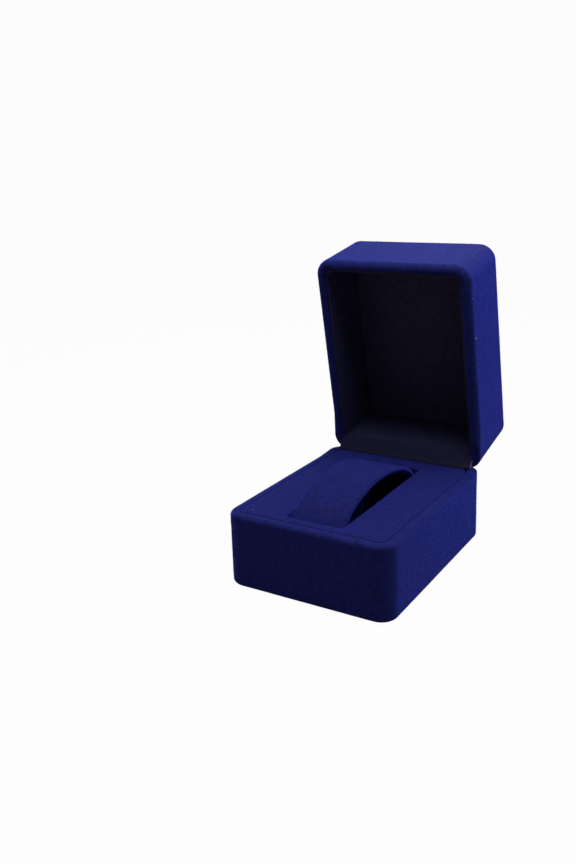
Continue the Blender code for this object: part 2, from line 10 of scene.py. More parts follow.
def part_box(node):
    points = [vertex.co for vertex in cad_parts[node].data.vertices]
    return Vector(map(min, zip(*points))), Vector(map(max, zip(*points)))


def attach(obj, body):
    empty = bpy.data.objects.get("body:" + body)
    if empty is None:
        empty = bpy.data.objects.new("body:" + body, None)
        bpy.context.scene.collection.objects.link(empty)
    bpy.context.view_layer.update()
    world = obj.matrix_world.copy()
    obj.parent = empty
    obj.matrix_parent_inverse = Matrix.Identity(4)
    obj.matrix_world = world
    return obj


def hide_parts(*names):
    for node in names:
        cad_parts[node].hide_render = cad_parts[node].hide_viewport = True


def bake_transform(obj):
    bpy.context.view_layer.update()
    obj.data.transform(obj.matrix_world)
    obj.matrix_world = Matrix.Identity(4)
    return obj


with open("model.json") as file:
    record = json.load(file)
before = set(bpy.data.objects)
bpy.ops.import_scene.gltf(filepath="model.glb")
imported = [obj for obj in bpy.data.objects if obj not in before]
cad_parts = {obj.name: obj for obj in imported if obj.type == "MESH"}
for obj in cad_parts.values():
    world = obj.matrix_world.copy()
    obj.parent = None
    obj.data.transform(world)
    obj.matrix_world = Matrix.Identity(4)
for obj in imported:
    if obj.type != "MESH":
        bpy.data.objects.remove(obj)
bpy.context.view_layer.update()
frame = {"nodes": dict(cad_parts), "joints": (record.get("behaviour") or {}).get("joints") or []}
mm = 0.001

# the lid's joint, and the turn that takes the closed lid to where it stands at rest
lidJoint = frame["joints"][0]
hingeAt = Vector(lidJoint["pos_m"])
openDegrees = lidJoint["range_deg"][1]
openLid = (Matrix.Translation(hingeAt) @ Matrix.Rotation(math.radians(-openDegrees), 4, "X")
           @ Matrix.Translation(-hingeAt))


def closedCorners(node):
    back = openLid.inverted()
    points = [back @ vert.co / mm for vert in frame["nodes"][node].data.vertices]
    low = [min(point[axis] for point in points) for axis in range(3)]
    high = [max(point[axis] for point in points) for axis in range(3)]
    return low, high


trayLow, trayHigh = [[value / mm for value in corner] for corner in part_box("base_cover")]
lidLow, lidHigh = closedCorners("lid_cover")

case = {
    "halfX": trayHigh[0],
    "halfY": -trayLow[1],
    "trayTop": trayHigh[2],
    "lidRim": lidLow[2],
    "lidTop": lidHigh[2],
    "corner": 8.0,
    "footRadius": 2.0,
    "leanDegrees": 0.4,
    "wrap": 0.8,        # velvet and its glue
    "gap": 0.3,
    "rimBand": 4.4,     # wall top, over the velvet
    "lipBand": 3.4,     # thinner lip round the padded panel
    "hem": 6.8,
    "innerWrap": 9.0,
    # from front to back along Y: the sides, the tight hinge corners, the hinged edge
    "rimStops": (-60, 32, 44, 49.6, 51.2, 60),
}
smooth = {
    "cornerSteps": 12,
    "alongX": 40,
    "alongY": 54,
    "arcSteps": 14,
    "wallStep": 1.8,
    "leastRadius": 0.5,
}


def arc(centre, radius, start, end, steps=None):
    steps = steps or smooth["arcSteps"]
    points = []
    for step in range(steps + 1):
        angle = math.radians(start + (end - start) * step / steps)
        points.append((centre[0] + radius * math.cos(angle), centre[1] + radius * math.sin(angle)))
    return points


def finer(points, longest):
    # put more points in the long straight runs of a profile
    result = [points[0]]
    for first, second in zip(points, points[1:]):
        parts = max(1, math.ceil(math.dist(first, second) / longest))
        for part in range(1, parts + 1):
            share = part / parts
            result.append(tuple(a + (b - a) * share for a, b in zip(first, second)))
    return result


def sideShares(steps, length, seam):
    shares = [step / steps for step in range(1, steps)]
    if seam:
        near = [share for share in shares if abs(share - 0.5) * length > 0.9]
        shares = sorted(near + [0.5 + offset / length for offset in (-0.8, -0.45, -0.2, 0, 0.2, 0.45, 0.8)])
    return shares


def outline(halfX, halfY, radius, height, centreY=0.0, backSeam=False):
    # rounded rectangle, anticlockwise from the right side of the back right corner
    radius = min(max(radius, smooth["leastRadius"]), halfX, halfY)
    corners = ((1, 1), (-1, 1), (-1, -1), (1, -1))
    points = []
    for index, (sideX, sideY) in enumerate(corners):
        for step in range(smooth["cornerSteps"] + 1):
            angle = math.pi / 2 * (index + step / smooth["cornerSteps"])
            points.append(Vector((sideX * (halfX - radius) + radius * math.cos(angle),
                                  centreY + sideY * (halfY - radius) + radius * math.sin(angle), height)))
        nextX, nextY = corners[(index + 1) % 4]
        angle = math.pi / 2 * (index + 1)
        start = points[-1]
        end = Vector((nextX * (halfX - radius) + radius * math.cos(angle),
                      centreY + nextY * (halfY - radius) + radius * math.sin(angle), height))
        steps = smooth["alongX"] if index % 2 == 0 else smooth["alongY"]
        for share in sideShares(steps, (end - start).length, backSeam and index == 0):
            points.append(start.lerp(end, share))
    return points


def leanOver(rise):
    # how far the walls lean in over a height, counted from the rim
    return rise * math.tan(math.radians(case["leanDegrees"]))


def wallSection(lean, height, backSeam):
    return outline(case["halfX"] - lean, case["halfY"] - lean, case["corner"] - lean, height, 0.0, backSeam)


def traySection(inset, height, backSeam=False):
    return wallSection(inset + leanOver(case["trayTop"] - height), height, backSeam)


def lidSection(inset, height, backSeam=False):
    return wallSection(inset + leanOver(height - case["lidRim"]), height, backSeam)


def loft(name, rings, closed=False):
    # a skin through rings of points: a loop of rings, or capped at both ends
    bm = bmesh.new()
    rows = [[bm.verts.new(point) for point in ring] for ring in rings]
    pairs = list(zip(rows, rows[1:]))
    if closed:
        pairs.append((rows[-1], rows[0]))
    else:
        bm.faces.new(list(reversed(rows[0])))
        bm.faces.new(rows[-1])
    for low, high in pairs:
        for index in range(len(low)):
            after = (index + 1) % len(low)
            bm.faces.new((low[index], low[after], high[after], high[index]))
    bmesh.ops.recalc_face_normals(bm, faces=bm.faces)
    mesh = bpy.data.meshes.new(name)
    bm.to_mesh(mesh)
    bm.free()
    return mesh


def moveAlongNormals(mesh, amountAt):
    # the normals are read first, because each one read after a move is worked out again
    normals = [vert.normal.copy() for vert in mesh.vertices]
    for vert, normal in zip(mesh.vertices, normals):
        vert.co = vert.co + normal * amountAt(vert.co)
    return mesh


def unevenCloth(mesh, amount, size, shift=0.0):
    # glued cloth is never dead flat: slow swells over small ones, still in millimetres
    offset = Vector((shift, shift * 0.7, -shift))

    def swellAt(place):
        place = place / size + offset
        return amount * (noise.noise(place) + 0.35 * noise.noise(place * 4.1))

    return moveAlongNormals(mesh, swellAt)


def makePiece(name, mesh, material, body, replaced=(), turn=None, sharpest=38):
    # scale to metres, turn the lid's pieces open, and hand the piece to its body
    mesh.transform(Matrix.Scale(mm, 4))
    if turn is not None:
        mesh.transform(turn)
    mesh.materials.clear()
    mesh.materials.append(material)
    mesh.shade_smooth()
    mesh.set_sharp_from_angle(angle=math.radians(sharpest))
    mesh.name = name
    piece = bpy.data.objects.new(name, mesh)
    bpy.context.scene.collection.objects.link(piece)
    if body:
        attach(piece, body)
    if replaced:
        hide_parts(*replaced)
    return piece


def settledMesh(obj):
    # the mesh that an object's modifiers give
    bpy.context.view_layer.update()
    evaluated = obj.evaluated_get(bpy.context.evaluated_depsgraph_get())
    return bpy.data.meshes.new_from_object(evaluated)


def cutBox(mesh, low, high):
    # take a box away from a closed mesh
    bm = bmesh.new()
    bmesh.ops.create_cube(bm, size=1.0)
    for vert in bm.verts:
        vert.co = Vector([(a + b) / 2 + value * (b - a) for value, a, b in zip(vert.co, low, high)])
    blockMesh = bpy.data.meshes.new("cutBlock")
    bm.to_mesh(blockMesh)
    bm.free()
    block = bpy.data.objects.new("cutBlock", blockMesh)
    body = bpy.data.objects.new("cutBody", mesh)
    for obj in (block, body):
        bpy.context.scene.collection.objects.link(obj)
    cut = body.modifiers.new("cut", "BOOLEAN")
    cut.operation = "DIFFERENCE"
    cut.solver = "MANIFOLD"
    cut.object = block
    result = settledMesh(body)
    for obj in (block, body):
        bpy.data.objects.remove(obj, do_unlink=True)
    return result


def linear(code):
    # sRGB hex to linear
    values = [int(code[i:i + 2], 16) / 255 for i in (1, 3, 5)]
    return tuple(v / 12.92 if v <= 0.04045 else ((v + 0.055) / 1.055) ** 2.4 for v in values) + (1.0,)


def addNode(tree, kind, values=None, links=None, **settings):
    node = tree.nodes.new(kind)
    for key, value in settings.items():
        setattr(node, key, value)
    for key, value in (values or {}).items():
        node.inputs[key].default_value = value
    for key, source in (links or {}).items():
        tree.links.new(source, node.inputs[key])
    return node


def newMaterial(name, plain):
    # a Principled shader with its plain values, and coordinates in millimetres
    material = bpy.data.materials.new(name)
    material.use_nodes = True
    tree = material.node_tree
    shader = tree.nodes["Principled BSDF"]
    for key, value in plain.items():
        shader.inputs[key].default_value = value
    place = addNode(tree, "ShaderNodeTexCoord").outputs["Object"]
    inMm = addNode(tree, "ShaderNodeMapping", {"Scale": (1 / mm, 1 / mm, 1 / mm)}, {"Vector": place})
    return material, tree, shader, inMm.outputs["Vector"]


def addNoise(tree, place, size, detail, **more):
    # size is in millimetres
    plain = {"Scale": 1 / size, "Detail": detail, **more}
    return addNode(tree, "ShaderNodeTexNoise", plain, {"Vector": place})


def mixColours(tree, shader, first, second, share):
    colour = addNode(tree, "ShaderNodeMix", {6: linear(first), 7: linear(second)}, {0: share},
                     data_type="RGBA")
    tree.links.new(colour.outputs[2], shader.inputs["Base Color"])


def times(tree, socket, factor):
    return addNode(tree, "ShaderNodeMath", {1: factor}, {0: socket}, operation="MULTIPLY").outputs[0]


def varyRoughness(tree, shader, source, low, high):
    rough = addNode(tree, "ShaderNodeMapRange", {"To Min": low, "To Max": high}, {"Value": source})
    tree.links.new(rough.outputs["Result"], shader.inputs["Roughness"])


def addBump(tree, shader, height, strength, depth):
    bump = addNode(tree, "ShaderNodeBump", {"Strength": strength, "Distance": depth * mm}, {"Height": height})
    tree.links.new(bump.outputs["Normal"], shader.inputs["Normal"])


def newGrowth(name, sizes):
    # a Geometry Nodes tree: a mesh goes in with named sizes, and a mesh comes out
    tree = bpy.data.node_groups.new(name, "GeometryNodeTree")
    tree.interface.new_socket("Geometry", in_out="INPUT", socket_type="NodeSocketGeometry")
    sockets = {}
    for label, value in sizes.items():
        kind = "NodeSocketInt" if isinstance(value, int) else "NodeSocketFloat"
        sockets[label] = tree.interface.new_socket(label, in_out="INPUT", socket_type=kind).identifier
    tree.interface.new_socket("Geometry", in_out="OUTPUT", socket_type="NodeSocketGeometry")
    return tree, addNode(tree, "NodeGroupInput"), sockets


def endGrowth(tree, instances, material):
    # the export drops instances, so they become real faces
    real = addNode(tree, "GeometryNodeRealizeInstances", None, {"Geometry": instances})
    finish = addNode(tree, "GeometryNodeSetMaterial", {"Material": material}, {"Geometry": real.outputs[0]})
    addNode(tree, "NodeGroupOutput", None, {"Geometry": finish.outputs[0]})


def grow(name, source, tree, sockets, sizes):
    # source is in millimetres, and so are the sizes
    holder = bpy.data.objects.new(name + "Source", source)
    bpy.context.scene.collection.objects.link(holder)
    growth = holder.modifiers.new("growth", "NODES")
    growth.node_group = tree
    for label, identifier in sockets.items():
        growth[identifier] = sizes[label]
    result = settledMesh(holder)
    bpy.data.objects.remove(holder, do_unlink=True)
    return result


# Short-pile velvet, glued over a moulded shell: soft even cloth with a bright nap at its edges,
# slow patches where the pile leans another way, and a grain of tufts
royalVelvet = {
    "deep": "#0a0c34",
    "lit": "#151a5c",
    "patchShare": 0.12,  # how much of the colour change comes from the slow patches
    "sheenTint": "#4253ff",
    "sheen": 0.62,
    "sheenRoughness": 0.42,
    "patch": 9.0,
    "grain": 0.8,       # real pile is about 0.15, drawn coarser so that it shows
    "tuftClump": 2.6,
    "relief": 0.6,
}
liningVelvet = dict(royalVelvet, deep="#1c1b31", lit="#28274a", sheen=0.08, sheenTint="#6a70c0")
# the ceiling's lining is the lining's colour painted lighter: painted light against the shade the lid's walls
# cast inside
ceilingVelvetPaintedLight = dict(liningVelvet, deep="#2d2a3e", lit="#37344f")
# the flap's lining is the lining's colour painted darker: painted shade where the key lamp falls on the flap
flapVelvetPaintedShade = dict(liningVelvet, deep="#141427", lit="#1d1d39")


def velvetMaterial(name, look):
    material, tree, shader, place = newMaterial(name, {
        "Roughness": 0.92,
        "Specular IOR Level": 0.12,
        "Sheen Weight": look["sheen"],
        "Sheen Roughness": look["sheenRoughness"],
        "Sheen Tint": linear(look["sheenTint"]),
    })
    patches = addNoise(tree, place, look["patch"], 3.0, Roughness=0.55, Distortion=0.7)
    lean = addNode(tree, "ShaderNodeMapRange", {"From Min": 0.32, "From Max": 0.68},
                   {"Value": patches.outputs["Fac"]}, interpolation_type="SMOOTHSTEP")
    grain = addNoise(tree, place, look["grain"], 2.0, Roughness=0.6)
    clumps = addNoise(tree, place, look["tuftClump"], 3.0, Roughness=0.65)
    pile = addNode(tree, "ShaderNodeMix", {0: 0.35}, {2: grain.outputs["Fac"], 3: clumps.outputs["Fac"]},
                   data_type="FLOAT")
    tufts = addNode(tree, "ShaderNodeMapRange", {"From Min": 0.38, "From Max": 0.62},
                    {"Value": pile.outputs[0]})
    nap = addNode(tree, "ShaderNodeMix", {0: look["patchShare"]},
                  {2: tufts.outputs["Result"], 3: lean.outputs["Result"]}, data_type="FLOAT")
    mixColours(tree, shader, look["deep"], look["lit"], nap.outputs[0])
    height = addNode(tree, "ShaderNodeMath", {1: 0.4}, {0: patches.outputs["Fac"], 2: pile.outputs[0]},
                     operation="MULTIPLY_ADD")
    addBump(tree, shader, height.outputs["Value"], 0.7, look["relief"])
    return material


# Moulded ABS, dark: the fine even grain of an eroded mould
mouldedPlastic = {"dark": "#17181d", "light": "#212329", "cloud": 9.0, "grain": 0.5}


def plasticMaterial(name, look):
    material, tree, shader, place = newMaterial(name, {"IOR": 1.53, "Specular IOR Level": 0.5})
    cloud = addNoise(tree, place, look["cloud"], 3.0)
    grain = addNoise(tree, place, look["grain"], 2.0)
    mixColours(tree, shader, look["dark"], look["light"], cloud.outputs["Fac"])
    varyRoughness(tree, shader, grain.outputs["Fac"], 0.42, 0.62)
    addBump(tree, shader, grain.outputs["Fac"], 0.5, 0.05)
    return material


# Open-cell foam, grey: round cells, with painted shade darkening each cell's middle, where the pore is
greyFoam = {"wall": "#6a6e76", "paintedPoreShade": "#2c2f36", "cell": 0.7}


def foamMaterial(name, look):
    material, tree, shader, place = newMaterial(name, {"Roughness": 0.95, "Specular IOR Level": 0.2})
    cells = addNode(tree, "ShaderNodeTexVoronoi", {"Scale": 1 / look["cell"]}, {"Vector": place})
    shade = addNode(tree, "ShaderNodeMapRange", {"From Max": 0.6}, {"Value": cells.outputs["Distance"]})
    # painted shade: the colour darkens towards the middle of each cell
    mixColours(tree, shader, look["paintedPoreShade"], look["wall"], shade.outputs["Result"])
    addBump(tree, shader, cells.outputs["Distance"], 0.8, 0.2)
    return material


# Greyboard: pressed paper pulp with flecks
greyBoard = {"pulp": "#9c9382", "fleck": "#6b6355", "fibre": 1.4}
# Raw card edge, a dusty mauve brown, where the flap was cut
rawCardLook = {"pulp": "#8d7683", "fleck": "#5a4754", "fibre": 0.5}


def boardMaterial(name, look):
    material, tree, shader, place = newMaterial(name, {"Roughness": 0.88, "Specular IOR Level": 0.3})
    pulp = addNoise(tree, place, look["fibre"], 5.0, Distortion=1.5)
    fleck = addNode(tree, "ShaderNodeMapRange", {"From Min": 0.4, "From Max": 0.66},
                    {"Value": pulp.outputs["Fac"]})
    mixColours(tree, shader, look["pulp"], look["fleck"], fleck.outputs["Result"])
    addBump(tree, shader, pulp.outputs["Fac"], 0.4, 0.1)
    return material


# Nickel-plated steel strip: rolled lines along the hinge, a little dull from handling
platedSteel = {"bright": "#c9c6bd", "dull": "#a39f94", "line": 0.18, "smear": 3.0}


def steelMaterial(name, look):
    material, tree, shader, place = newMaterial(name, {"Metallic": 1.0})
    along = addNode(tree, "ShaderNodeMapping", {"Scale": (0.05, 1.0, 1.0)}, {"Vector": place})
    lines = addNoise(tree, along.outputs["Vector"], look["line"], 3.0)
    smear = addNoise(tree, place, look["smear"], 4.0)
    mixColours(tree, shader, look["bright"], look["dull"], smear.outputs["Fac"])
    varyRoughness(tree, shader, smear.outputs["Fac"], 0.2, 0.48)
    addBump(tree, shader, lines.outputs["Fac"], 0.3, 0.02)
    return material


# Spun polyester sewing thread: two plies twisted, with a soft shine
sewingThread = {"thread": "#262c78", "shade": "#0d0f33", "twist": 0.5}


def threadMaterial(name, look):
    material, tree, shader, place = newMaterial(name, {"Roughness": 0.6, "Sheen Weight": 0.3,
                                                       "Sheen Tint": linear("#8088ff")})
    plies = addNode(tree, "ShaderNodeTexWave", {"Scale": 0.16 / look["twist"], "Distortion": 1.0},
                    {"Vector": place}, bands_direction="DIAGONAL")
    mixColours(tree, shader, look["shade"], look["thread"], plies.outputs["Fac"])
    return material


# Cotton lint: loose pale fibres that velvet picks up, matt and a little fluffy
cottonLint = {"pale": "#b4b9d8", "dusty": "#666da3", "dust": 2.5}


def lintMaterial(name, look):
    material, tree, shader, place = newMaterial(name, {"Roughness": 0.9, "Specular IOR Level": 0.2,
                                                       "Sheen Weight": 0.4})
    dust = addNoise(tree, place, look["dust"], 2.0)
    mixColours(tree, shader, look["dusty"], look["pale"], dust.outputs["Fac"])
    addBump(tree, shader, dust.outputs["Fac"], 0.5, 0.02)
    return material


velvet = velvetMaterial("royal_velvet_pile", royalVelvet)
lining = velvetMaterial("dark_lining_velvet", liningVelvet)
ceilingLiningPaintedLight = velvetMaterial("ceiling_velvet_painted_light", ceilingVelvetPaintedLight)
flapLiningPaintedShade = velvetMaterial("flap_velvet_painted_shade", flapVelvetPaintedShade)
plastic = plasticMaterial("moulded_dark_abs", mouldedPlastic)
foam = foamMaterial("grey_open_cell_foam", greyFoam)
board = boardMaterial("pressed_greyboard", greyBoard)
rawCard = boardMaterial("raw_mauve_card", rawCardLook)
steel = steelMaterial("nickel_plated_steel", platedSteel)
thread = threadMaterial("spun_polyester_thread", sewingThread)
lint = lintMaterial("pale_cotton_lint", cottonLint)
print("materials made")

# CAD solids that keep their shape take the new finishes
keptNodes = {
    plastic: ("base_shell", "lid_shell", "collar_band"),
    foam: ("insert_foam", "lid_panel_pad"),
    board: ("lid_panel_board",),
    steel: ("hinge_base_leaf", "hinge_lid_leaf", "hinge_pin", "base_rivet_left", "base_rivet_right",
            "lid_rivet_left", "lid_rivet_right"),
}
for finish, nodes in keptNodes.items():
    for node in nodes:
        for holder in frame["nodes"][node].material_slots:
            holder.material = finish

tray = {"rimOuter": 2.8, "rimInner": 1.0, "sideRadius": 2.2, "tightRadius": 0.6, "uneven": 0.05,
        "swell": 15.0, "gather": 0.16, "gathers": 7, "gatherAt": 4.5, "gatherReach": 4.0,
        "seamDepth": 0.35, "seamWidth": 0.3}


def gatherCorners(mesh, look, middle):
    # cloth eased round a tight inner corner stands in small radial folds
    centreX, centreY = case["halfX"] - case["corner"], case["halfY"] - case["corner"]

    def foldAt(place):
        awayX, awayY = abs(place.x) - centreX, abs(place.y) - centreY
        if awayX <= 0 or awayY <= 0:
            return 0.0
        angle = math.atan2(awayY, awayX) / (math.pi / 2)
        fade = math.sin(math.pi * angle) ** 0.5 * max(0.0, 1 - abs(place.z - middle) / look["gatherReach"])
        phase = math.copysign(1.3, place.x) + math.copysign(0.8, place.y)
        return look["gather"] * fade * math.sin(2 * math.pi * look["gathers"] * angle + phase)

    moveAlongNormals(mesh, foldAt)


def sinkSeam(mesh, face, look):
    # butt seam of the wrap, in the middle of the back
    for vert in mesh.vertices:
        if vert.co.y > face - 1.0:
            sink = look["seamDepth"] * math.exp(-(vert.co.x / look["seamWidth"]) ** 2)
            vert.co = vert.co - Vector((0.0, sink, 0.0))


def rimArcs(look, level, side, depth):
    # a wall top from its outer side inwards: side 1 points up, -1 down
    outer, inner = look["rimOuter"], look["rimInner"]
    return (arc((outer, level - side * outer), outer - depth, 180, 180 - 90 * side)
            + arc((case["rimBand"] - inner, level - side * inner), max(inner - depth, 0.2), 90 * side, 0, 9))


def rimRadius(look, y):
    # the velvet is pulled tight round the hinge's corners, and the hinged side needs its full rounding
    radii = [look[key] for key in ("sideRadius", "tightRadius", "rimOuter") for twice in range(2)]
    stops = list(zip(case["rimStops"], radii))
    for (start, first), (end, last) in zip(stops, stops[1:]):
        if y <= end:
            return first + (last - first) * (y - start) / (end - start)
    return look["rimOuter"]


def rimRings(look, points, section, level, side):
    # rings of a wall whose outer rounding changes along the outline
    full = look["rimOuter"]
    rings = []
    for inset, z in points:
        ring = section(inset, z, True)
        fromCentre = Vector((inset - full, side * (z - level) + full))
        if inset <= full + 0.01 and side * (z - level) >= -full - 0.01 and fromCentre.length > 0:
            across, up = fromCentre.normalized()
            for index, point in enumerate(ring):
                change = max(rimRadius(look, point.y) - full, 0.1 - fromCentre.length)
                moved = section(inset + change * (1 + across), z - side * change * (1 - up), True)
                ring[index] = moved[index]
        rings.append(ring)
    return rings


def trayFace(depth):
    foot = case["footRadius"]
    top = case["trayTop"]
    points = [(case["hem"], depth)]
    points += arc((foot, foot), foot - depth, 270, 180, 8)
    points += rimArcs(tray, top, 1, depth)
    points.append((case["rimBand"] - depth, top - case["innerWrap"]))
    return finer(points, smooth["wallStep"])


window = {"half": 15.5, "leafReach": 11.5, "leafRoom": 0.15, "knuckleHalf": 15.6, "knuckleReach": 1.65}


def hingeWindow(mesh, side):
    # room for the hinge's leaf and knuckles, as in the solids
    half, knuckleHalf = window["half"], window["knuckleHalf"]
    back, band, room = case["halfY"], case["rimBand"], window["leafRoom"]
    hingeZ = hingeAt.z / mm
    past = hingeZ - side * band
    low, high = sorted((hingeZ + side * window["leafReach"], past))
    mesh = cutBox(mesh, (-half, back - band - room, low), (half, back - band + case["wrap"] + room, high))
    low, high = sorted((hingeZ + side * window["knuckleReach"], past))
    return cutBox(mesh, (-knuckleHalf, back - 2 * band, low), (knuckleHalf, back + band, high))


def makeTray():
    face = trayFace(0.0)
    under = list(reversed(trayFace(case["wrap"])))
    rings = rimRings(tray, face + under, traySection, case["trayTop"], 1)
    mesh = loft("trayVelvet", rings, closed=True)
    unevenCloth(mesh, tray["uneven"], tray["swell"])
    sinkSeam(mesh, case["halfY"], tray)
    gatherCorners(mesh, tray, case["trayTop"] - tray["gatherAt"])
    mesh = hingeWindow(mesh, -1)
    makePiece("trayVelvet", mesh, velvet, "base", ("base_cover",))


def makeUnderside():
    inset = case["hem"] + case["gap"]
    thick = case["wrap"]
    low = [(16, 0.02), (6, 0.02), (1.2, 0.0), (0.5, 0.04), (0.15, 0.12), (0, 0.25)]
    high = [(0, thick - 0.2), (0.2, thick), (6, thick), (16, thick)]
    rings = [traySection(inset + reach, z) for reach, z in low + high]
    mesh = loft("undersideVelvet", rings)
    makePiece("undersideVelvet", mesh, velvet, "base", ("underside_panel",))


deck = {"top": case["trayTop"] - 0.1, "skirt": 5.0, "edge": 0.6, "wander": 0.16, "frontReach": 0.22,
        "slotHalfX": 14.0, "slotHalfY": 39.8, "slotCentre": -2.5, "slotCorner": 2.0, "slotEdge": 0.9,
        "foot": 4.4, "crown": 0.3, "uneven": 0.05, "flapRoom": 1.2,
        "waverSize": 6.0, "frontFrom": 30, "frontFade": 12}


def slotSection(growth, height):
    return outline(deck["slotHalfX"] + growth, deck["slotHalfY"] + growth, deck["slotCorner"] + growth,
                   height, deck["slotCentre"])


def deckSkirt(depth):
    inset = case["rimBand"] + case["gap"]
    edge = deck["edge"]
    points = [(inset + depth, deck["top"] - deck["skirt"])]
    points += arc((inset + edge, deck["top"] - edge), max(edge - depth, 0.02), 180, 90, 8)
    points = [(reach + depth - min(depth, edge), z - depth + min(depth, edge)) for reach, z in points]
    rings = []
    for reach, z in finer(points, smooth["wallStep"]):
        lean = reach + leanOver(case["trayTop"] - z)
        room = deck["flapRoom"] / 2
        ring = outline(case["halfX"] - lean, case["halfY"] - lean - room, case["corner"] - lean, z, -room)
        for point in ring:
            # the wrapped edge isn't cut dead straight, so the joint wavers
            waver = deck["wander"] * noise.noise(Vector((point.x, point.y, 40.0)) / deck["waverSize"])
            nearFront = min(1.0, max(0.0, (-deck["frontFrom"] - point.y) / deck["frontFade"]))
            waver += deck["frontReach"] * nearFront - deck["wander"] * 0.2
            point += Vector((point.x, point.y, 0.0)).normalized() * waver
        rings.append(ring)
    return rings


def makeDeck():
    # velvet over the foam block: a skirt tucked beside the rim, and a soft edge down the slot
    wrap = case["wrap"]
    rings = deckSkirt(0.0)
    outer = rings[-1]
    edgeArc = arc((deck["slotEdge"], deck["top"] - deck["slotEdge"]), deck["slotEdge"], 90, 180, 7)
    inner = slotSection(deck["slotEdge"], deck["top"])
    for step in range(1, 12):
        share = step / 12
        lift = deck["crown"] * math.sin(math.pi * share) ** 0.8
        rings.append([a.lerp(b, share) + Vector((0, 0, lift)) for a, b in zip(outer, inner)])
    rings += [slotSection(reach, z) for reach, z in edgeArc]
    walls = finer([(0.0, deck["top"] - deck["slotEdge"]), (0.0, deck["foot"])], 2.4)
    rings += [slotSection(reach, z) for reach, z in walls[1:]]
    rings += [slotSection(wrap, deck["foot"]), slotSection(wrap, deck["top"] - wrap)]
    rings += list(reversed(deckSkirt(wrap)))
    mesh = loft("deckVelvet", rings, closed=True)
    unevenCloth(mesh, deck["uneven"], 12.0, 3.0)
    piece = makePiece("deckVelvet", mesh, velvet, "base", ("insert_cover",))


def makeSlotFloor():
    # covered card under the collar
    low = deck["foot"] - 1.1 + case["gap"]
    high = low + 1.5
    shape = [(-0.8, low), (-0.45, low + 0.2), (-0.3, low + 0.5), (-0.3, high - 0.5), (-0.45, high - 0.15),
             (-0.9, high), (-3.0, high + 0.02), (-6.0, high + 0.04)]
    mesh = loft("slotFloor", [slotSection(growth, z) for growth, z in shape])
    makePiece("slotFloor", mesh, lining, "base", ("slot_pad",))


collar = {"width": 26.0, "thick": 3.0, "top": 43.5, "floor": 5.4, "endClearance": 0.9, "openDegrees": 9.0,
          "steps": 150, "edgeRadius": 1.35, "uneven": 0.05, "cornerSteps": 6, "faceSteps": 16}


def collarPath():
    # oval C, open underneath: points and outward directions in the YZ plane
    halfLength = deck["slotHalfY"] - collar["endClearance"] - collar["thick"] / 2
    halfHeight = (collar["top"] - collar["floor"] - collar["thick"]) / 2
    middle = (collar["top"] + collar["floor"]) / 2
    opening = math.radians(collar["openDegrees"])
    start, end = -math.pi / 2 + opening, 3 * math.pi / 2 - opening
    path = []
    for step in range(collar["steps"] + 1):
        angle = start + (end - start) * step / collar["steps"]
        point = Vector((0.0, deck["slotCentre"] + halfLength * math.cos(angle),
                        middle + halfHeight * math.sin(angle)))
        out = Vector((0.0, math.cos(angle) / halfLength, math.sin(angle) / halfHeight)).normalized()
        path.append((point, out))
    return path


def sleeveRing(point, out, halfWidth, halfThick, radius):
    # rounded flat section across the collar
    ring = []
    corners = ((1, 1), (-1, 1), (-1, -1), (1, -1))
    for index, (sideX, sideOut) in enumerate(corners):
        for step in range(collar["cornerSteps"] + 1):
            angle = math.pi / 2 * (index + step / collar["cornerSteps"])
            x = sideX * (halfWidth - radius) + radius * math.cos(angle)
            reach = sideOut * (halfThick - radius) + radius * math.sin(angle)
            ring.append(Vector((x, point.y, point.z)) + out * reach)
        if index % 2 == 0:
            following = corners[index + 1][0]
            for step in range(1, collar["faceSteps"]):
                across = (following - sideX) * (halfWidth - radius) * step / collar["faceSteps"]
                x = sideX * (halfWidth - radius) + across
                ring.append(Vector((x, point.y, point.z)) + out * sideOut * halfThick)
    return ring


def makeCollar():
    path = collarPath()
    halfWidth, halfThick, radius = collar["width"] / 2, collar["thick"] / 2, collar["edgeRadius"]
    wrap = case["wrap"]
    outer = [sleeveRing(point, out, halfWidth, halfThick, radius) for point, out in path]
    inner = [sleeveRing(point, out, halfWidth - wrap, halfThick - wrap, radius - wrap) for point, out in path]

    def tuck(index, following):
        # the sleeve's end turns in over the band's end
        point, out = path[index]
        along = (path[following][0] - point).normalized()
        rings = []
        for step in range(1, 5):
            angle = math.pi / 2 * step / 4
            inset = wrap * (1 - math.cos(angle))
            shift = along * -wrap * 0.5 * math.sin(angle)
            rings.append([p + shift for p in sleeveRing(point, out, halfWidth - inset, halfThick - inset,
                                                        max(radius - inset, 0.3))])
        return rings

    rings = list(reversed(tuck(0, 1))) + outer + tuck(-1, -2)
    rings += list(reversed(inner))
    mesh = loft("collarVelvet", rings, closed=True)
    unevenCloth(mesh, collar["uneven"], 9.0, 7.0)
    makePiece("collarVelvet", mesh, velvet, "base", ("collar_cover",))


seam = {"Pitch": 3.0, "Length": 2.1, "Thickness": 0.3, "Lift": 0.32, "Tilt": 0.22}


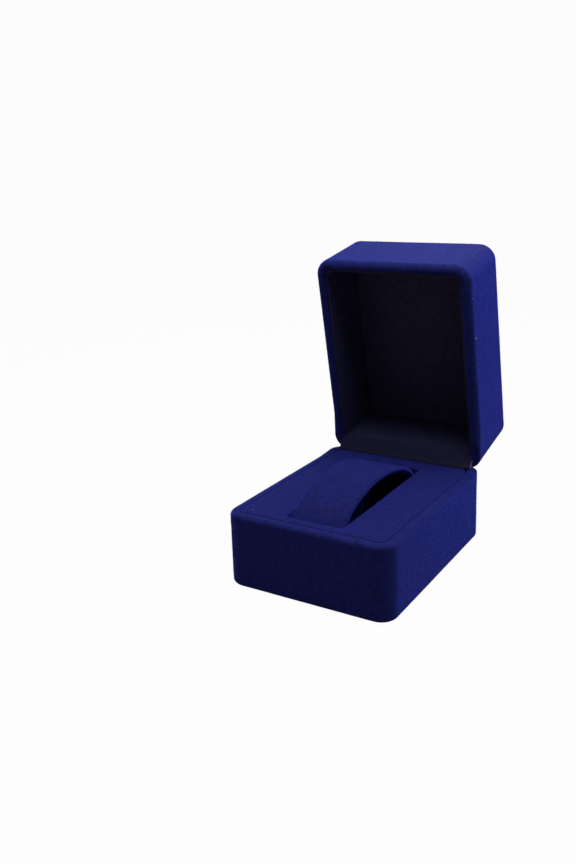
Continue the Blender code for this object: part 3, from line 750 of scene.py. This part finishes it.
def makeSeamStitches():
    # the sleeve is sewn shut by hand along the inside of the collar
    path = collarPath()[6:-6]
    reach = collar["thick"] / 2 - 0.02
    mesh = bpy.data.meshes.new("seamLine")
    links = [(index, index + 1) for index in range(len(path) - 1)]
    mesh.from_pydata([point - out * reach for point, out in path], links, [])
    facing = mesh.attributes.new("facing", "FLOAT_VECTOR", "POINT")
    for index, (point, out) in enumerate(path):
        facing.data[index].vector = -out
    tree, sizes, sockets = newGrowth("handStitches", seam)
    line = addNode(tree, "GeometryNodeMeshToCurve", None, {"Mesh": sizes.outputs["Geometry"]})
    spots = addNode(tree, "GeometryNodeResampleCurve", None,
                    {"Curve": line.outputs[0], "Length": sizes.outputs["Pitch"]}, mode="LENGTH")
    half = times(tree, sizes.outputs["Length"], 0.5)
    back = times(tree, sizes.outputs["Length"], -0.5)
    sink = times(tree, sizes.outputs["Lift"], -0.5)
    ends = {"Start": (back, sink), "End": (half, sink),
            "Start Handle": (back, None), "End Handle": (half, None)}
    arch = addNode(tree, "GeometryNodeCurvePrimitiveBezierSegment", {"Resolution": 6})
    for label, (across, down) in ends.items():
        corner = addNode(tree, "ShaderNodeCombineXYZ", None, {"X": across})
        tree.links.new(down or sizes.outputs["Lift"], corner.inputs["Z"])
        tree.links.new(corner.outputs[0], arch.inputs[label])
    thin = times(tree, sizes.outputs["Thickness"], 0.5)
    ring = addNode(tree, "GeometryNodeCurvePrimitiveCircle", {"Resolution": 6}, {"Radius": thin})
    stitch = addNode(tree, "GeometryNodeCurveToMesh", {"Fill Caps": True},
                     {"Curve": arch.outputs[0], "Profile Curve": ring.outputs[0]})
    tangent = addNode(tree, "GeometryNodeInputTangent")
    away = addNode(tree, "GeometryNodeInputNamedAttribute", {"Name": "facing"}, data_type="FLOAT_VECTOR")
    turned = addNode(tree, "FunctionNodeAlignRotationToVector", None,
                     {"Vector": tangent.outputs[0]}, axis="X")
    turned = addNode(tree, "FunctionNodeAlignRotationToVector", None,
                     {"Rotation": turned.outputs[0], "Vector": away.outputs[0]}, axis="Z", pivot_axis="X")
    slant = addNode(tree, "ShaderNodeCombineXYZ", None, {"Z": sizes.outputs["Tilt"]})
    slant = addNode(tree, "FunctionNodeEulerToRotation", None, {0: slant.outputs[0]})
    turned = addNode(tree, "FunctionNodeRotateRotation", None,
                     {0: turned.outputs[0], 1: slant.outputs[0]}, rotation_space="LOCAL")
    placed = addNode(tree, "GeometryNodeInstanceOnPoints", None,
                     {"Points": spots.outputs[0], "Instance": stitch.outputs[0],
                      "Rotation": turned.outputs[0]})
    endGrowth(tree, placed.outputs[0], thread)
    mesh = grow("seamStitches", mesh, tree, sockets, seam)
    makePiece("seamStitches", mesh, thread, "base")


makeTray()
makeUnderside()
makeDeck()
makeSlotFloor()
makeCollar()
makeSeamStitches()
print("tray, deck and collar made")

lid = dict(tray, rimOuter=3.1, rimInner=1.2, sideRadius=3.1, recess=4.0, flange=3.6, plate=2.0)


def lidFace(depth):
    lip = case["lipBand"] / 2
    low, top = case["lidRim"], case["lidTop"]
    groove = top - lid["recess"] + case["wrap"] + case["gap"] - depth
    points = [(case["rimBand"] - depth, low + case["innerWrap"])]
    points += reversed(rimArcs(lid, low, -1, depth))
    points += arc((lip, top - lip), lip - depth, 180, 0)
    points += [(case["lipBand"] - depth, groove), (case["lipBand"] + lid["flange"], groove)]
    return finer(points, smooth["wallStep"])


def makeLid():
    points = lidFace(0.0) + list(reversed(lidFace(case["wrap"])))
    rings = rimRings(lid, points, lidSection, case["lidRim"], -1)
    mesh = loft("lidVelvet", rings, closed=True)
    unevenCloth(mesh, lid["uneven"], lid["swell"], 11.0)
    sinkSeam(mesh, case["halfY"] - 0.3, lid)
    gatherCorners(mesh, lid, case["lidRim"] + lid["gatherAt"])
    mesh = hingeWindow(mesh, 1)
    makePiece("lidVelvet", mesh, velvet, "lid", ("lid_cover",), openLid)


padded = {"groove": 0.6, "corner": 6.0, "edge": 2.2, "drop": 0.5, "crown": 1.1, "rings": 26,
          "pressure": 4.0, "frames": 20, "cap": 0.55, "scale": 10.0}


def paddedRing(inset, height):
    lean = case["lipBand"] + padded["groove"] + inset
    lean += leanOver(case["lidTop"] - case["lidRim"])
    radius = max(padded["corner"] - inset, inset * 0.45)
    return outline(case["halfX"] - lean, case["halfY"] - lean, radius, height)


def paddedMesh():
    low = case["lidTop"] - lid["recess"] + case["wrap"] + 2 * case["gap"]
    edge = padded["edge"]
    edgeTop = case["lidTop"] - padded["drop"]
    points = [(2.2, low + 1.8), (0.9, low + 1.8), (0.9, low), (0.0, low + 0.1)]
    points += arc((edge, edgeTop), edge, 180, 100, 10)
    reach = case["halfX"] - case["lipBand"] - padded["groove"] - edge - 1.2
    for step in range(1, padded["rings"] + 1):
        share = step / padded["rings"]
        lift = padded["crown"] * (1 - (1 - share) ** 2)
        points.append((edge + (reach - edge) * share, edgeTop + edge + lift))
    under = [(edge + (reach - edge) * (1 - step / 8), low + 1.8) for step in range(8)]
    return loft("lidPanelVelvet", [paddedRing(inset, z) for inset, z in under + points])


def swell(mesh, look):
    # cloth under pressure, worked at ten times the size, with the underside held
    mesh.transform(Matrix.Scale(look["scale"] * mm, 4))
    body = bpy.data.objects.new("panelSwell", mesh)
    bpy.context.scene.collection.objects.link(body)
    edgeTop = (case["lidTop"] - padded["drop"]) * look["scale"] * mm
    held = body.vertex_groups.new(name="held")
    for vert in mesh.vertices:
        if vert.co.z < edgeTop:
            held.add([vert.index], 1.0, "REPLACE")
    start = [vert.co.copy() for vert in mesh.vertices]
    cloth = body.modifiers.new("cloth", "CLOTH")
    cloth.settings.vertex_group_mass = "held"
    cloth.settings.use_pressure = True
    cloth.settings.uniform_pressure_force = look["pressure"]
    cloth.settings.effector_weights.gravity = 0.0
    cloth.collision_settings.use_collision = False
    cloth.point_cache.frame_end = look["frames"]
    scene = bpy.context.scene
    for step in range(1, look["frames"] + 1):
        scene.frame_set(step)
    result = settledMesh(body)
    cap = look["cap"] * look["scale"] * mm
    for vert, first in zip(result.vertices, start):
        move = vert.co - first
        if move.length > cap:
            vert.co = first + move * (cap / move.length)
    bpy.data.objects.remove(body, do_unlink=True)
    scene.frame_set(1)
    result.transform(Matrix.Scale(1 / (look["scale"] * mm), 4))
    return result


flap = {"thick": 0.4, "backing": 0.45, "halfWidth": 35.7, "topHalf": 34.3, "tuckHalf": 32.2, "ragged": 0.12,
        "tuckFrom": 33.95, "tuckOver": 0.8, "columns": 56,
        "route": ((54.6, 39.15), (52.8, 38.86), (51.4, 38.55), (50.3, 37.65), (49.25, 36.3), (48.15, 34.95),
                  (47.25, 33.95), (46.88, 33.0), (46.85, 31.0), (46.85, 29.1)),
        "bendFrom": (0.0, 47.6, 34.3), "bendTo": (0.0, 51.3, 38.3)}


def smoothRoute(points, parts):
    # a curve through the points, as a list of points with a direction across it
    route = []
    for index in range(len(points) - 1):
        around = [Vector(points[max(0, min(len(points) - 1, index + k))]) for k in (-1, 0, 1, 2)]
        for part in range(parts):
            t = part / parts
            a, b, c, d = around
            route.append(0.5 * (2 * b + (c - a) * t + (2 * a - 5 * b + 4 * c - d) * t * t
                                + (3 * b - a - 3 * c + d) * t ** 3))
    route.append(Vector(points[-1]))
    result = []
    for index, point in enumerate(route):
        along = (route[min(index + 1, len(route) - 1)] - route[max(index - 1, 0)]).normalized()
        result.append((point, Vector((along.y, -along.x))))
    return result


def makeFlap():
    # lining on card, glued to the lid's lining and tucked in behind the deck: it hides the hinge
    route = smoothRoute(flap["route"], 4)
    columns = flap["columns"]

    def layer(name, near, far, widen, material, replaced):
        rings = []
        for index, (point, across) in enumerate(route):
            drop = min(1.0, max(0.0, (flap["tuckFrom"] - point.y) / flap["tuckOver"]))
            half = flap["halfWidth"] + widen + (flap["tuckHalf"] - flap["halfWidth"]) * drop
            half -= (flap["halfWidth"] - flap["topHalf"]) * max(0.0, 1 - index / 7)
            taper = min(1.0, 0.35 + index / 6)
            ring = []
            for side, depth in ((1, near), (-1, far)):
                for column in range(columns + 1):
                    x = half * (2 * column / columns - 1) * side
                    ragged = flap["ragged"] * noise.noise(Vector((x * 0.9, point.x, point.y)) * 1.7)
                    edge = 1.0 if abs(x) < half - 0.3 else 0.8
                    place = point + across * depth * taper * edge
                    ring.append(Vector((x + (ragged if edge < 1 else 0), place.x, place.y)))
            rings.append(ring)
        mesh = loft(name, rings)
        unevenCloth(mesh, 0.025, 9.0, 4.0)
        piece = makePiece(name, mesh, material, None, replaced)
        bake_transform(piece)

    # the flap's velvet is the lining painted darker, as painted shade
    layer("hingeFlap", flap["thick"] + 0.01, 0.01, 0.0, flapLiningPaintedShade, ("hinge_flap",))
    layer("flapCardEdge", -0.01, -0.01 - flap["backing"], 0.3, rawCard, ())


def makeLidPanel():
    mesh = paddedMesh()
    mesh = swell(mesh, padded)
    unevenCloth(mesh, 0.04, 10.0, 5.0)
    piece = makePiece("lidPanelVelvet", mesh, velvet, "lid",
                      ("lid_panel_cover", "lid_panel_pad"), openLid)


def makeLidLining():
    high = case["lidTop"] - lid["recess"] - lid["plate"] - case["gap"]
    low = case["lidRim"] + 1.5
    outer = case["rimBand"] + 0.1       # snug to the wrap, so that no dark line shows
    thick = 1.4
    face = [(outer, low + 0.5)] + arc((outer + 0.7, low + 0.7), 0.7, 180, 360, 8)
    face += [(outer + thick, high), (outer, high)]
    mesh = loft("lidLining", [lidSection(inset, z, True) for inset, z in finer(face, 2.2)], closed=True)
    unevenCloth(mesh, 0.03, 12.0, 2.0)
    makePiece("lidLining", mesh, lining, "lid", ("lid_side_lining",), openLid)
    inset = outer + thick + case["gap"]
    face = [(inset + 20, high), (inset, high), (inset, high - 1.1), (inset + 0.15, high - 1.45),
            (inset + 0.5, high - 1.6)]
    for reach in (2, 5, 9, 14, 20, 27):
        face.append((inset + reach, high - 1.6 - 0.25 * (1 - (1 - reach / 27) ** 2)))
    mesh = loft("lidCeiling", [lidSection(reach, z) for reach, z in face])
    unevenCloth(mesh, 0.03, 14.0, 9.0)
    # the ceiling takes the lining painted lighter, as painted light in the lid's shade
    makePiece("lidCeiling", mesh, ceilingLiningPaintedLight, "lid", ("lid_top_lining",), openLid)


makeLid()
makeLidPanel()
makeLidLining()
makeFlap()
print("lid made")

# per square millimetre, and millimetres
napTufts = {"Density": 0.55, "Length": 0.42, "Thickness": 0.13, "Lean": 0.75, "Seed": 11}
looseLint = {"Density": 0.00025, "Length": 1.4, "Thickness": 0.07, "Lean": 0.0, "Seed": 23}
lintSpeck = {"place": (39.92, -16.1, 37.8), "length": 1.1, "thick": 0.42}


def outerCloth(piece, turn, wanted):
    # the wanted faces of a piece, back in millimetres with the lid closed
    mesh = bpy.data.objects[piece].data.copy()
    if turn is not None:
        mesh.transform(turn.inverted())
    mesh.transform(Matrix.Scale(1 / mm, 4))
    bm = bmesh.new()
    bm.from_mesh(mesh)
    spare = [face for face in bm.faces if not wanted(face.calc_center_median(), face.normal)]
    bmesh.ops.delete(bm, geom=spare, context="FACES")
    result = bpy.data.meshes.new("outerCloth")
    bm.to_mesh(result)
    bm.free()
    return result


def fibreTree(name, sizes, bent, material):
    tree, given, sockets = newGrowth(name, sizes)
    spots = addNode(tree, "GeometryNodeDistributePointsOnFaces", None,
                    {"Mesh": given.outputs["Geometry"], "Density": given.outputs["Density"],
                     "Seed": given.outputs["Seed"]})
    thin = times(tree, given.outputs["Thickness"], 0.5)
    if bent:
        curl = addNode(tree, "GeometryNodeCurvePrimitiveBezierSegment",
                       {"Resolution": 7, "Start": (0, 0, 0), "Start Handle": (0.35, 0.4, 0.3),
                        "End Handle": (0.6, -0.5, 0.35), "End": (1, 0.1, 0.03)})
        longer = addNode(tree, "GeometryNodeTransform", None, {"Geometry": curl.outputs[0]})
        tree.links.new(given.outputs["Length"], longer.inputs["Scale"])
        ring = addNode(tree, "GeometryNodeCurvePrimitiveCircle", {"Resolution": 5}, {"Radius": thin})
        fibre = addNode(tree, "GeometryNodeCurveToMesh", {"Fill Caps": True},
                        {"Curve": longer.outputs[0], "Profile Curve": ring.outputs[0]})
    else:
        fibre = addNode(tree, "GeometryNodeMeshCone", {"Vertices": 3, "Radius Top": 0.0},
                        {"Radius Bottom": thin, "Depth": given.outputs["Length"]})
    spin = addNode(tree, "FunctionNodeRandomValue", {2: 0.0, 3: 2 * math.pi},
                   {"Seed": given.outputs["Seed"]}, data_type="FLOAT")
    angles = addNode(tree, "ShaderNodeCombineXYZ", None, {"X": given.outputs["Lean"], "Z": spin.outputs[1]})
    angles = addNode(tree, "FunctionNodeEulerToRotation", None, {0: angles.outputs[0]})
    turned = addNode(tree, "FunctionNodeRotateRotation", None,
                     {0: spots.outputs["Rotation"], 1: angles.outputs[0]}, rotation_space="LOCAL")
    size = addNode(tree, "FunctionNodeRandomValue", {2: 0.55, 3: 1.25, "Seed": 5}, data_type="FLOAT")
    placed = addNode(tree, "GeometryNodeInstanceOnPoints", None,
                     {"Points": spots.outputs["Points"], "Instance": fibre.outputs[0],
                      "Rotation": turned.outputs[0], "Scale": size.outputs[1]})
    endGrowth(tree, placed.outputs[0], material)
    return tree, sockets


def makeSpeck():
    # one ball of pale lint caught on the right side of the lid
    rings = []
    half = lintSpeck["length"] / 2
    for step in range(9):
        share = step / 8
        thick = lintSpeck["thick"] / 2 * math.sin(math.pi * (0.08 + 0.84 * share)) ** 0.6
        middle = Vector((0.1 + 0.12 * math.sin(5 * share), half * (2 * share - 1),
                         0.25 * math.sin(4.2 * share)))
        ring = []
        for spoke in range(8):
            angle = math.pi * spoke / 4
            rough = 1 + 0.35 * noise.noise(Vector((share * 4, spoke * 1.7, 2.0)))
            ring.append(Vector(lintSpeck["place"]) + middle
                        + Vector((math.cos(angle), 0.0, math.sin(angle))) * thick * rough)
        rings.append(ring)
    makePiece("lintSpeck", loft("lintSpeck", rings), lint, "lid", (), openLid)


def faceTests():
    # for each piece, which of its faces are seen and stay clear of the other half
    top, rim, lidTop = case["trayTop"], case["lidRim"], case["lidTop"]

    def outward(place, normal):
        return place.x * normal.x + place.y * normal.y > 0

    def onWall(place):
        return abs(place.x) > case["halfX"] - 3 or abs(place.y) > case["halfY"] - 3

    def onTray(place, normal):
        upright = math.hypot(normal.x, normal.y) > 0.3
        return 3.0 < place.z < top - 0.9 and upright and onWall(place) and outward(place, normal)

    def onDeck(place, normal):
        return normal.z > 0.5 and place.z > deck["top"] - 0.8 and place.y < case["halfY"] - 9

    def onCollar(place, normal):
        fromMiddle = (place.y - deck["slotCentre"]) * normal.y + (place.z - 24) * normal.z
        return abs(place.x) < collar["width"] / 2 - 0.6 and place.z > 12 and fromMiddle > 0

    def onLid(place, normal):
        faces = normal.z > 0.5 or outward(place, normal)
        return rim + 0.9 < place.z and faces and (place.z > lidTop - 1 or onWall(place))

    def onPanel(place, normal):
        return normal.z > 0.5

    return (("tray", "trayVelvet", None, "base", onTray), ("deck", "deckVelvet", None, "base", onDeck),
            ("collar", "collarVelvet", None, "base", onCollar), ("lid", "lidVelvet", openLid, "lid", onLid),
            ("panel", "lidPanelVelvet", openLid, "lid", onPanel))


def makeFibres():
    # short pile standing out of the cloth, and loose lint lying on it
    kinds = (("Nap", fibreTree("napTufts", napTufts, False, velvet), napTufts, velvet),
             ("Lint", fibreTree("looseLint", looseLint, True, lint), looseLint, lint))
    for name, piece, turn, body, wanted in faceTests():
        cloth = outerCloth(piece, turn, wanted)
        for kind, (tree, sockets), sizes, material in kinds:
            mesh = grow(name + kind, cloth.copy(), tree, sockets, sizes)
            makePiece(name + kind, mesh, material, body, (), turn, 60)


makeSpeck()
makeFibres()
print("fibres made")

studio = {
    "floor": "#9a9a98",
    "whiteShare": 0.97,     # the rest of the floor is matt paper, which takes the shadow
    "world": 0.09,
    "aim": (0, 0, 0.05),
    # place, size and power
    "keyLamp": ((0.08, -0.03, 0.6), 0.35, 5.0),
    "fillLamp": ((-0.8, -0.7, 0.6), 0.8, 0.14),
    "rearLamp": ((-0.05, 0.4, 0.45), 0.3, 1.65),
    # the sweep: its front, where it starts to rise, the rise's radius and steps, and its top
    "front": -1.5, "bend": 0.9, "radius": 0.5, "steps": 12, "top": 2.5, "halfWidth": 3.0,
}
view = {"place": (180.710, -344.548, 185.044), "yaw": 32.18, "pitch": 11.05, "roll": -1.84,
        "focal": 887.8, "centreX": 288.05, "centreY": 329.73}


def makeStudio():
    scene = bpy.context.scene
    bm = bmesh.new()
    bend, radius, wide = studio["bend"], studio["radius"], studio["halfWidth"]
    profile = [(studio["front"], 0.0), (bend, 0.0)]
    for step in range(1, studio["steps"] + 1):
        angle = math.pi / 2 * step / studio["steps"]
        profile.append((bend + radius * math.sin(angle), radius - radius * math.cos(angle)))
    profile.append((bend + radius, studio["top"]))
    rows = [[bm.verts.new((x, y, z - 0.0002)) for x in (-wide, wide)] for y, z in profile]
    for low, high in zip(rows, rows[1:]):
        bm.faces.new((low[0], low[1], high[1], high[0]))
    mesh = bpy.data.meshes.new("studioSweep")
    bm.to_mesh(mesh)
    bm.free()
    mesh.shade_smooth()
    sweep = bpy.data.objects.new("studioSweep", mesh)
    scene.collection.objects.link(sweep)

    # pale paper: white to the camera, with the object's shadow kept on it
    material = bpy.data.materials.new("pale_paper_sweep")
    material.use_nodes = True
    tree = material.node_tree
    tree.nodes.clear()
    rays = addNode(tree, "ShaderNodeLightPath")
    seen = rays.outputs["Is Camera Ray"]
    for kind in ("Is Glossy Ray", "Is Transmission Ray"):
        seen = addNode(tree, "ShaderNodeMath", None, {0: seen, 1: rays.outputs[kind]},
                       operation="MAXIMUM").outputs[0]
    matt = addNode(tree, "ShaderNodeBsdfDiffuse", {"Color": linear(studio["floor"])})
    white = addNode(tree, "ShaderNodeEmission", {"Color": (1, 1, 1, 1), "Strength": 1.0})
    both = addNode(tree, "ShaderNodeMixShader", None, {0: times(tree, seen, studio["whiteShare"]),
                                                       1: matt.outputs[0], 2: white.outputs[0]})
    addNode(tree, "ShaderNodeOutputMaterial", None, {"Surface": both.outputs[0]})
    mesh.materials.append(material)

    world = bpy.data.worlds.new("studioWorld")
    world.use_nodes = True
    tree = world.node_tree
    tree.nodes.clear()
    rays = addNode(tree, "ShaderNodeLightPath")
    dim = addNode(tree, "ShaderNodeBackground", {"Color": (0.93, 0.95, 1.0, 1), "Strength": studio["world"]})
    white = addNode(tree, "ShaderNodeBackground", {"Color": (1, 1, 1, 1), "Strength": 1.0})
    both = addNode(tree, "ShaderNodeMixShader", None, {0: rays.outputs["Is Camera Ray"], 1: dim.outputs[0],
                                                       2: white.outputs[0]})
    addNode(tree, "ShaderNodeOutputWorld", None, {"Surface": both.outputs[0]})
    scene.world = world

    for name in ("keyLamp", "fillLamp", "rearLamp"):
        place, size, power = studio[name]
        light = bpy.data.lights.new(name, "AREA")
        light.energy = power
        light.size = size
        lamp = bpy.data.objects.new(name, light)
        lamp.location = place
        lamp.rotation_euler = (Vector(studio["aim"]) - Vector(place)).to_track_quat("-Z", "Y").to_euler()
        scene.collection.objects.link(lamp)


def makeCamera():
    data = bpy.data.cameras.new("photoCamera")
    data.sensor_width = 36.0
    data.lens = view["focal"] * data.sensor_width / 864
    data.shift_x = (288 - view["centreX"]) / 864
    data.shift_y = (view["centreY"] - 432) / 864
    data.clip_start = 0.01
    camera = bpy.data.objects.new("photoCamera", data)
    camera.matrix_world = (Matrix.Translation(Vector(view["place"]) * mm)
                           @ Matrix.Rotation(math.radians(view["yaw"]), 4, "Z")
                           @ Matrix.Rotation(math.radians(90 - view["pitch"]), 4, "X")
                           @ Matrix.Rotation(math.radians(view["roll"]), 4, "Z"))
    bpy.context.scene.collection.objects.link(camera)
    bpy.context.scene.camera = camera


makeStudio()
makeCamera()
bpy.context.scene.view_settings.view_transform = "Standard"
print("studio made")
